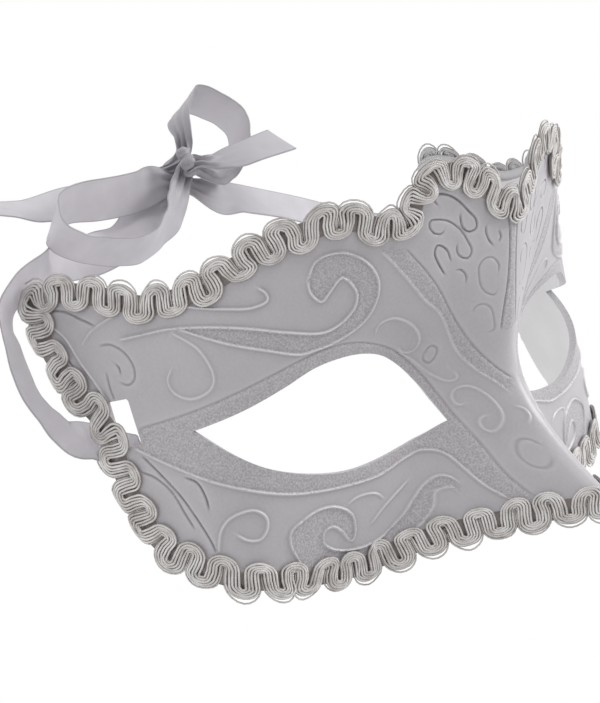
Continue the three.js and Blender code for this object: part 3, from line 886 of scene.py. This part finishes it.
def triangulate(points, loops):
    """Triangles over the flat points, bounded by the loops, which come first among the points."""
    edges = []
    start = 0
    for loop in loops:
        count = len(loop)
        edges += [(start + i, start + (i + 1) % count) for i in range(count)]
        start += count
    verts, _, faces, origin, _, _ = delaunay_2d_cdt(points.tolist(), edges, [], 0, 1e-7, True)
    flat = np.array([tuple(v) for v in verts])
    faces = np.array(faces)
    faces = faces[on_shell(flat[faces].mean(axis=1), loops)]
    place = {}
    for i, sources in enumerate(origin):
        for source in sources:
            place[source] = i
    return flat, faces, place


def relief_lines():
    """Fine points of all the lines, the weight at each, and rows of mesh points beside them."""
    lines = []
    weights = []
    rows = []
    for weight, points in LINES.values():
        for version in (np.asarray(points, float), mirrored(points)):
            fine = smooth_line(version, spacing=LINE_STEP)
            ends = np.minimum(np.arange(len(fine)), np.arange(len(fine))[::-1]) * LINE_STEP
            lines.append(fine)
            weights.append(weight * ease(LINE_START + ends / LINE_FADE))
            steps = smooth_line(version, spacing=ROW_STEP)
            beside = unit(np.gradient(steps, axis=0))[:, ::-1] * (-1, 1)
            rows += [steps + beside * off for off in LINE_ROWS]
    return np.vstack(lines), np.concatenate(weights), np.vstack(rows)


def frost_polygons():
    """Outlines of the frosted areas on both halves."""

    def line(name):
        return smooth_line(LINES[name][1], spacing=FROST_STEP)

    shapes = [np.vstack([line(first), line(second)[::-1]]) for first, second in FROSTED]
    shapes.append(np.vstack([line("centre"), mirrored(line("centre"))[::-1]]))
    shapes.append(np.vstack([line(name) for name in FROST_LOW] + [np.array(FROST_LOW_END)]))
    return shapes + [mirrored(shape) for shape in shapes]


def frosted(points, shapes):
    """Which points lie in a frosted area."""
    found = np.zeros(len(points), bool)
    for shape in shapes:
        found |= inside(points, shape)
    return found


def face_points(border, rows, shapes, loops):
    """Flat mesh points of the outer face: the border, the lines' rows, the grain and the rest."""
    kept = np.vstack([border, thinned(away(rows, border, ROW_EDGE_GAP, loops), ROW_GAP)])
    grain = hex_grid(GRAIN_STEP, GRAIN_JITTER)
    grain = grain[frosted(grain, shapes)]
    kept = np.vstack([kept, away(grain, kept, GRAIN_GAP, loops)])
    return np.vstack([kept, away(hex_grid(COARSE_STEP), kept, COARSE_GAP, loops)])


def line_heights(flat, lines, weights):
    """At each flat point: the distance to the nearest line, its crest and the shade at its foot."""
    tree = tree_of(lines)
    near = [tree.find((p[0], p[1], 0)) for p in flat]
    off = np.array([n[2] for n in near])
    weight = weights[[n[1] for n in near]]
    crest = weight * np.clip(1 - (off / LINE_HALF) ** 2, 0, 1) ** 2
    halo = weight * np.exp(-(((off - HALO_AT) / HALO_WIDTH) ** 2))
    return off, crest, halo


def rim_faces(loops, outer, inner, shift):
    """The walls round the edge and the holes, between the outer and the inner face."""
    walls = []
    start = 0
    for loop in loops:
        count = len(loop)
        for i in range(count):
            here, following = start + i, start + (i + 1) % count
            walls.append((outer[here], inner[here] + shift, inner[following] + shift, outer[following]))
        start += count
    return walls


def make_shell(material, inner_material):
    edge = smooth_line(whole_edge(), closed=True, spacing=EDGE_STEP)
    loops = [edge, eye_loop(), mirrored(eye_loop()), slot_loop(), mirrored(slot_loop())]
    border = np.vstack(loops)
    lines, weights, rows = relief_lines()
    shapes = frost_polygons()
    flat, faces, place = triangulate(face_points(border, rows, shapes, loops), loops)
    off, crest, halo = line_heights(flat, lines, weights)
    frost = frosted(flat, shapes).astype(float)
    grit = DRAWS.uniform(0, GRAIN_HEIGHT, len(flat)) * frost * (off > GRAIN_OFF_LINE)
    outer = bend(flat[:, 0], flat[:, 1], WALL / 2 + LINE_HEIGHT * crest + grit)

    back = np.vstack([border, away(hex_grid(INSIDE_STEP), border, INSIDE_GAP, loops)])
    flat_in, faces_in, place_in = triangulate(back, loops)
    inner = bend(flat_in[:, 0], flat_in[:, 1], np.full(len(flat_in), -WALL / 2))

    shift = len(outer)
    turned = [[a + shift, c + shift, b + shift] for a, b, c in faces_in]
    walls = rim_faces(loops, place, place_in, shift)
    piece = add_mesh("mask_face", np.vstack([outer, inner]), faces.tolist() + turned + walls, material)
    mesh = piece.data
    mesh.materials.append(inner_material)
    slots = np.zeros(len(mesh.polygons), dtype=np.int32)
    slots[len(faces):len(faces) + len(faces_in)] = 1
    mesh.polygons.foreach_set("material_index", slots)
    # The crest value carries the painted highlight and painted shade of the lines and their feet.
    for label, values in (("frost", frost), ("crest", crest - HALO_PART * halo)):
        add_values(mesh, label, np.concatenate([values, np.zeros(len(inner))]))
    mesh.set_sharp_from_angle(angle=math.radians(SHELL_SHARP))
    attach(piece, "root")
    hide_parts("mask_shell")


# Braid: parallel cords that snake along the edge, the outermost with small loops of its own. Each cord
# is its distance from the middle of the snake and its radius.
BRAID_HALF = 1.8
CORDS = ((-1.34, 0.37), (-0.67, 0.37), (0, 0.37), (0.67, 0.37), (1.32, 0.35), (BRAID_HALF, 0.2))
CORD_SIDES = 6
CORD_GAP = 0.1
EDGE_SAMPLES = 2000
EDGE_FINE = 0.6
EDGE_REACH = 3
BRAID_LOBES = 150
LEG_HALF = 1.6
LOBE_FLAT = 0.68
LOBE_STEPS = 10
LOBE_RISE = 0.4
LEAST_REACH = 0.1
# What differs from lobe to lobe: lean, size of the outermost cord's loop, reach and lift.
LOBE_LEAN = 0.45
LOOP_SIZE = (0.15, 1.0)
LOBE_SIZE = (-0.45, 0.35)
LOBE_LIFT = (-0.15, 0.4)
# The cords rise and sink past each other, and wander a little.
CORD_WEAVE = 0.12
WEAVE_STEP = 1.7
WOBBLE = 0.2
WOBBLE_PITCH = 0.35
WOBBLE_SEEDS = (5, 11)
# The tape under the cords: from and to across the braid, its two heights off the wall, and the places
# round a cord whose tones its front and back take: the front the grooves' painted shade, the back the pale
# underside.
BACKING = (-2.3, 2.2)
BACKING_HEIGHT = (0.05, 0.35)
BACKING_FLOOR = 0.02
FRONT_PAINTED_SHADE = 0.0
TONE_BACK = 0.75


def edge_frames():
    """Even samples along the edge, with the ways out past it and off the wall, and its length."""
    flat = smooth_line(whole_edge(), closed=True, spacing=EDGE_FINE)
    s, v = flat[:, 0], flat[:, 1]
    at = laid(middle(s, v))
    off = normals(s, v) @ TILT.T
    length = lengths_along(np.vstack([at, at[:1]]))
    where = np.linspace(0, length[-1], EDGE_SAMPLES, endpoint=False)
    at = at_lengths(where, length, np.vstack([at, at[:1]]))
    off = at_lengths(where, length, np.vstack([off, off[:1]]))
    along = unit(np.roll(at, -EDGE_REACH, axis=0) - np.roll(at, EDGE_REACH, axis=0))
    out = unit(np.cross(off, along))
    return at, out, unit(np.cross(along, out)), length[-1]


def lobe_points(reach):
    """One lobe as a straight leg and a half round of the reach: x, y and how far up the round it is."""
    found = [(-reach, 0, 0)]
    for k in range(LOBE_STEPS + 1):
        a = math.pi * k / LOBE_STEPS
        found.append((-reach * math.cos(a), LEG_HALF + LOBE_FLAT * reach * math.sin(a), math.sin(a)))
    return found


def smooth_draws(count, size):
    draws = DRAWS.uniform(-size, size, count)
    return (draws + np.roll(draws, 1)) / 2


def cord_path(n, radius, lobes):
    """One cord's way, drawn flat: along the edge, out past it and off the wall."""
    offset, thick = CORDS[n]
    dome = LOBE_RISE * (1 - (offset / BRAID_HALF) ** 2)
    path = []
    for i, (lean, loop, size, lift) in enumerate(lobes):
        outward = 1 if i % 2 else -1
        for x, y, high in lobe_points(max(LEAST_REACH, radius + outward * offset)):
            if outward > 0 and n == len(CORDS) - 1:
                y += loop * high**2
            y = outward * (y + size * high)
            w = WALL / 2 + thick + CORD_GAP + lift * high + dome
            w += CORD_WEAVE * math.sin(WEAVE_STEP * n + i)
            path.append(((i + 0.5) * 2 * radius + x + lean * y, y, w))
    return np.array(path)


def along_edge(path, at, out, off, total):
    """Points of a flat path on the mask's edge, and the way off the wall at each."""
    place = (path[:, 0] / total * EDGE_SAMPLES) % EDGE_SAMPLES
    first = place.astype(int) % EDGE_SAMPLES
    following = (first + 1) % EDGE_SAMPLES
    part = (place - np.floor(place))[:, None]

    def between(values):
        return values[first] * (1 - part) + values[following] * part

    line = between(at) + between(out) * path[:, 1:2] + between(off) * path[:, 2:3]
    return line, off[first]


def wander(count, seed):
    """A slow drift from point to point in one direction."""
    return WOBBLE * np.array([noise.noise(Vector((j * WOBBLE_PITCH, seed, 0))) for j in range(count)])


def add_tube(line, reference, thick, points, faces, uvs):
    """A closed round cord along a closed line, with a map of the way along it and round it."""
    count = len(line)
    along = unit(np.roll(line, -1, axis=0) - np.roll(line, 1, axis=0))
    side = unit(np.cross(reference, along))
    up = np.cross(along, side)
    angles = np.arange(CORD_SIDES) * 2 * math.pi / CORD_SIDES
    ring = side[:, None, :] * np.cos(angles)[None, :, None] + up[:, None, :] * np.sin(angles)[None, :, None]
    start = sum(len(p) for p in points)
    points.append((line[:, None, :] + thick * ring).reshape(-1, 3))
    gone = lengths_along(np.vstack([line, line[:1]]))
    for i in range(count):
        here = start + i * CORD_SIDES
        following = start + (i + 1) % count * CORD_SIDES
        for k in range(CORD_SIDES):
            m = (k + 1) % CORD_SIDES
            faces.append((here + k, here + m, following + m, following + k))
            u0, u1 = k / CORD_SIDES, (k + 1) / CORD_SIDES
            uvs += [(gone[i], u0), (gone[i], u1), (gone[i + 1], u1), (gone[i + 1], u0)]


def add_backing(at, out, off, points, faces, uvs):
    """The tape on which the cords are sewn, a thin closed strip along the edge, its front in the grooves'
    painted shade.
    """
    start = sum(len(p) for p in points)
    low, high = (WALL / 2 + height for height in BACKING_HEIGHT)
    corners = [(BACKING[0], low), (BACKING[1], low), (BACKING[1], high), (BACKING[0], high)]
    strip = np.stack([at + out * y + off * w for y, w in corners], axis=1).reshape(-1, 3)
    strip[:, 2] = np.maximum(strip[:, 2], BACKING_FLOOR)
    points.append(strip)
    for i in range(len(at)):
        here = start + 4 * i
        following = start + 4 * ((i + 1) % len(at))
        for k in range(4):
            m = (k + 1) % 4
            faces.append((here + k, here + m, following + m, following + k))
            # The front face takes the grooves' painted shade, so the tape shows dark between the cords.
            uvs += [(0, FRONT_PAINTED_SHADE if k == 2 else TONE_BACK)] * 4


def make_braid(material):
    at, out, off, total = edge_frames()
    lobes = list(zip(
        smooth_draws(BRAID_LOBES, LOBE_LEAN), DRAWS.uniform(*LOOP_SIZE, BRAID_LOBES),
        DRAWS.uniform(*LOBE_SIZE, BRAID_LOBES), DRAWS.uniform(*LOBE_LIFT, BRAID_LOBES),
    ))
    points, faces, uvs = [], [], []
    for n, (_, thick) in enumerate(CORDS):
        path = cord_path(n, total / BRAID_LOBES / 2, lobes)
        line, reference = along_edge(path, at, out, off, total)
        for k in range(3):
            line[:, k] += wander(len(line), n * WOBBLE_SEEDS[0] + k * WOBBLE_SEEDS[1])
        line[:, 2] = np.maximum(line[:, 2], thick)
        add_tube(line, reference, thick, points, faces, uvs)
    add_backing(at, out, off, points, faces, uvs)
    piece = add_mesh("edge_gimp", np.vstack(points), faces, material)
    piece.data.uv_layers.new(name="cord").data.foreach_set("uv", np.array(uvs).ravel())
    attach(piece, "root")
    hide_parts("edge_braid")


# Floor and light. A lamp is its place right, up and back in metres from the mask, its size and its power.
FLOOR_HALF = 3e4
FLOOR_LEVEL = -0.1
SKY_LIGHT = 0.55
LAMP_LIFT = 0.04
LAMPS = {
    "light_far": ((0.9, 0.6, -0.2), 0.5, 6),
    "light_top": ((0.3, 1.0, 0.5), 0.6, 2.4),
}


def make_stage():
    """A white floor and an even white sky."""
    paint = Paint("floor_pale")
    paint.set(Base_Color=BLACK, Roughness=1.0, Emission_Color=WHITE, Emission_Strength=1.0)
    paint.set(Specular_IOR_Level=0.0)
    turns = ((-1, -1), (1, -1), (1, 1), (-1, 1))
    corners = [(FLOOR_HALF * x, FLOOR_HALF * y, FLOOR_LEVEL) for x, y in turns]
    floor = add_mesh("floor", corners, [(0, 1, 2, 3)], paint.material, smooth=False)
    world = bpy.data.worlds.new("studio")
    bpy.context.scene.world = world
    world.use_nodes = True
    sky = world.node_tree.nodes["Background"]
    sky.inputs["Color"].default_value = WHITE
    sky.inputs["Strength"].default_value = SKY_LIGHT
    bpy.context.scene.view_settings.view_transform = "Standard"


def add_light(name, place, size, power):
    """A soft round lamp placed by the camera's own directions and turned to the mask."""
    place = TILT @ (VIEW_RIGHT * place[0] + VIEW_UP * place[1] + VIEW_BACK * place[2])
    lamp = bpy.data.objects.new(name, bpy.data.lights.new(name, "AREA"))
    bpy.context.collection.objects.link(lamp)
    lamp.location = Vector(place) + Vector((0, 0, LAMP_LIFT))
    lamp.rotation_mode = "QUATERNION"
    lamp.rotation_quaternion = (-Vector(place)).to_track_quat("-Z", "Y")
    lamp.data.shape = "DISK"
    lamp.data.size = size
    lamp.data.energy = power


make_stage()
for lamp_name, lamp in LAMPS.items():
    add_light(lamp_name, *lamp)
make_ribbons(ribbon_material())
make_shell(shell_material(), inside_material())
make_braid(cord_material())
